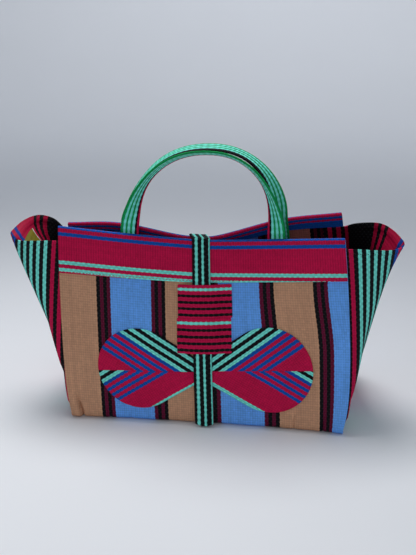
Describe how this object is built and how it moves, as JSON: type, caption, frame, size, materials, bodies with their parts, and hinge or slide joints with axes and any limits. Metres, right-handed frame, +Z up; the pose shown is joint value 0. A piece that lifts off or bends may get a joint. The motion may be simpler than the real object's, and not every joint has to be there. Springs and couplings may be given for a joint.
{
  "type": "tote bag",
  "caption": "Handmade striped tote bag with flared gussets, banded rims, a closure strap through a loop, a bow applique and arched webbing handles, standing open.",
  "frame": {"origin": "on the floor under the middle of the bag's overall width and depth", "axes": "+X towards the right gusset as seen from the front, +Y towards the rear, +Z up"},
  "size_m": [0.4437, 0.1734, 0.3054],
  "materials": {
    "body_cloth": "ribbed plain weave of smooth plastic yarn in lengthwise stripes",
    "gusset_cloth": "ribbed plain weave of smooth plastic yarn in narrow stripes",
    "band_cloth": "ribbed plain weave of smooth plastic yarn, satin",
    "handle_webbing": "narrow ribbed webbing with coarse twisted stripes",
    "strap_webbing": "narrow ribbed webbing with coarse twisted stripes",
    "applique_cloth": "fine plain weave in slanting stripes, stitched at its edges",
    "patch_cloth": "fine matt cloth"
  },
  "bodies": {
    "root": {"body_panel": "body_cloth", "left_gusset": "gusset_cloth", "right_gusset": "gusset_cloth", "front_band": "band_cloth", "rear_band": "band_cloth", "front_handle": "handle_webbing", "rear_handle": "handle_webbing", "closure_strap": "strap_webbing", "strap_loop_upper": "applique_cloth", "strap_loop_lower": "applique_cloth", "bow_left_upper": "applique_cloth", "bow_left_lower": "applique_cloth", "bow_right_upper": "applique_cloth", "bow_right_lower": "applique_cloth", "inner_patch": "patch_cloth"}
  },
  "joints": []
}
